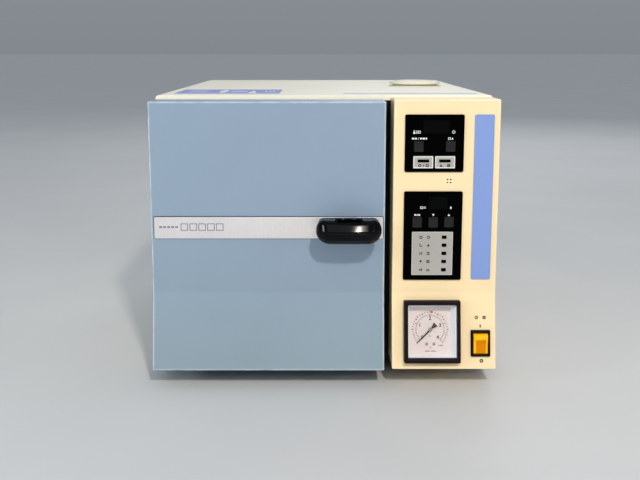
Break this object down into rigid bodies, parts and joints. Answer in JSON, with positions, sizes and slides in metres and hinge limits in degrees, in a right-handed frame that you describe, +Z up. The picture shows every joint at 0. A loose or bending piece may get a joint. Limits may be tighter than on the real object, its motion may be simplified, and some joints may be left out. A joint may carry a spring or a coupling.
{
  "type": "benchtop autoclave",
  "caption": "Front-loading bench steam steriliser with a hinged door, rotary T-handle, key panels, pressure gauge and amber power rocker.",
  "frame": {"origin": "middle of the footprint, on the surface that the feet stand on", "axes": "+Z up, -Y out of the door towards the user, +X to the right as seen from the front"},
  "size_m": [0.4, 0.625, 0.3494],
  "materials": {
    "cabinet_paint": "satin cream paint on sheet steel",
    "frame_paint": "matt black enamel on sheet steel",
    "housing_paint": "satin warm cream paint",
    "door_paint": "satin blue-grey paint",
    "zinc_steel": "zinc-plated steel",
    "stainless": "brushed stainless steel",
    "black_rubber": "matt moulded rubber",
    "glass_wool": "glass wool blanket",
    "brass_fitting": "turned brass",
    "copper_pipe": "bent copper tube",
    "white_plastic": "moulded tank plastic",
    "circuit_board": "green lacquered circuit board",
    "black_plastic": "polished black plastic",
    "panel_black": "smooth black membrane",
    "label_grey": "light grey printed film",
    "stripe_blue": "periwinkle blue film",
    "key_grey": "dark grey moulded keys",
    "dial_white": "white dial card",
    "clear_glass": "clear gauge window",
    "amber_plastic": "amber translucent lens",
    "satin_aluminium": "satin anodised trim",
    "silicone": "moulded silicone seal"
  },
  "bodies": {
    "cabinet": {"cabinet_cover": "cabinet_paint", "rear_panel": "cabinet_paint", "front_frame": "frame_paint", "base_chassis": "frame_paint", "control_housing": "housing_paint", "saddle_front": "zinc_steel", "saddle_rear": "zinc_steel", "hinge_pin": "zinc_steel", "hinge_bracket_upper": "zinc_steel", "hinge_bracket_lower": "zinc_steel", "latch_keeper": "zinc_steel", "transformer": "zinc_steel", "chamber_vessel": "stainless", "tray_rack": "stainless", "heater_element": "stainless", "foot_front_left": "black_rubber", "foot_front_right": "black_rubber", "foot_rear_left": "black_rubber", "foot_rear_right": "black_rubber", "insulation_jacket": "glass_wool", "safety_valve": "brass_fitting", "fill_valve": "brass_fitting", "exhaust_valve": "brass_fitting", "drain_fitting": "brass_fitting", "fill_pipe": "copper_pipe", "exhaust_pipe": "copper_pipe", "gauge_pipe": "copper_pipe", "water_reservoir": "white_plastic", "control_board": "circuit_board", "power_inlet": "black_plastic", "gauge_case": "black_plastic", "switch_bezel": "black_plastic", "upper_panel": "panel_black", "lower_panel": "panel_black", "mode_label_left": "label_grey", "mode_label_right": "label_grey", "indicator_plate": "label_grey", "blue_stripe": "stripe_blue", "gauge_dial": "dial_white", "gauge_glass": "clear_glass"},
    "door": {"door_cover": "door_paint", "door_trim_strip": "satin_aluminium", "door_crossbeam": "zinc_steel", "pressure_lid": "stainless", "lid_gasket": "silicone", "lid_stud": "zinc_steel"},
    "handle": {"handle_grip": "black_plastic", "handle_shaft": "zinc_steel", "latch_arm": "zinc_steel"},
    "cap": {"filler_cap": "cabinet_paint"},
    "lower_tray": {"tray_lower": "stainless"},
    "upper_tray": {"tray_upper": "stainless"},
    "pointer": {"gauge_pointer": "black_plastic"},
    "rocker": {"switch_rocker": "amber_plastic"},
    "key_program_cap": {"key_program": "key_grey"},
    "key_start_cap": {"key_start": "key_grey"},
    "key_mode_cap": {"key_mode": "key_grey"},
    "key_down_cap": {"key_down": "key_grey"},
    "key_up_cap": {"key_up": "key_grey"}
  },
  "joints": [
    {"name": "door_hinge", "type": "hinge", "parent": "cabinet", "child": "door", "pos_m": [-0.191, -0.2355, 0.183], "axis": [0, 0, -1], "range_deg": [0, 110]},
    {"name": "handle_turn", "type": "hinge", "parent": "door", "child": "handle", "pos_m": [0.0274, -0.2975, 0.1922], "axis": [0, 1, 0], "range_deg": [0, 90]},
    {"name": "filler_cap_lift", "type": "slide", "parent": "cabinet", "child": "cap", "axis": [0, 0, 1], "range_m": [0, 0.04]},
    {"name": "lower_tray_slide", "type": "slide", "parent": "cabinet", "child": "lower_tray", "axis": [0, -1, 0], "range_m": [0, 0.02]},
    {"name": "upper_tray_slide", "type": "slide", "parent": "cabinet", "child": "upper_tray", "axis": [0, -1, 0], "range_m": [0, 0.02]},
    {"name": "gauge_pointer_turn", "type": "hinge", "parent": "cabinet", "child": "pointer", "pos_m": [0.1244, -0.26586, 0.068], "axis": [0, 0.9897, -0.143], "range_deg": [0, 270], "stiffness_Nm_per_rad": 0.0004},
    {"name": "power_rocker", "type": "hinge", "parent": "cabinet", "child": "rocker", "pos_m": [0.18235, -0.26398, 0.05303], "axis": [-1, 0, 0], "range_deg": [0, 18]},
    {"name": "key_program_press", "type": "slide", "parent": "cabinet", "child": "key_program_cap", "axis": [0, 0.999, 0.0442], "range_m": [0, 0.001], "stiffness_N_per_m": 120},
    {"name": "key_start_press", "type": "slide", "parent": "cabinet", "child": "key_start_cap", "axis": [0, 0.999, 0.0442], "range_m": [0, 0.001], "stiffness_N_per_m": 120},
    {"name": "key_mode_press", "type": "slide", "parent": "cabinet", "child": "key_mode_cap", "axis": [0, 0.999, 0.0442], "range_m": [0, 0.001], "stiffness_N_per_m": 120},
    {"name": "key_down_press", "type": "slide", "parent": "cabinet", "child": "key_down_cap", "axis": [0, 0.999, 0.0442], "range_m": [0, 0.001], "stiffness_N_per_m": 120},
    {"name": "key_up_press", "type": "slide", "parent": "cabinet", "child": "key_up_cap", "axis": [0, 0.999, 0.0442], "range_m": [0, 0.001], "stiffness_N_per_m": 120}
  ]
}
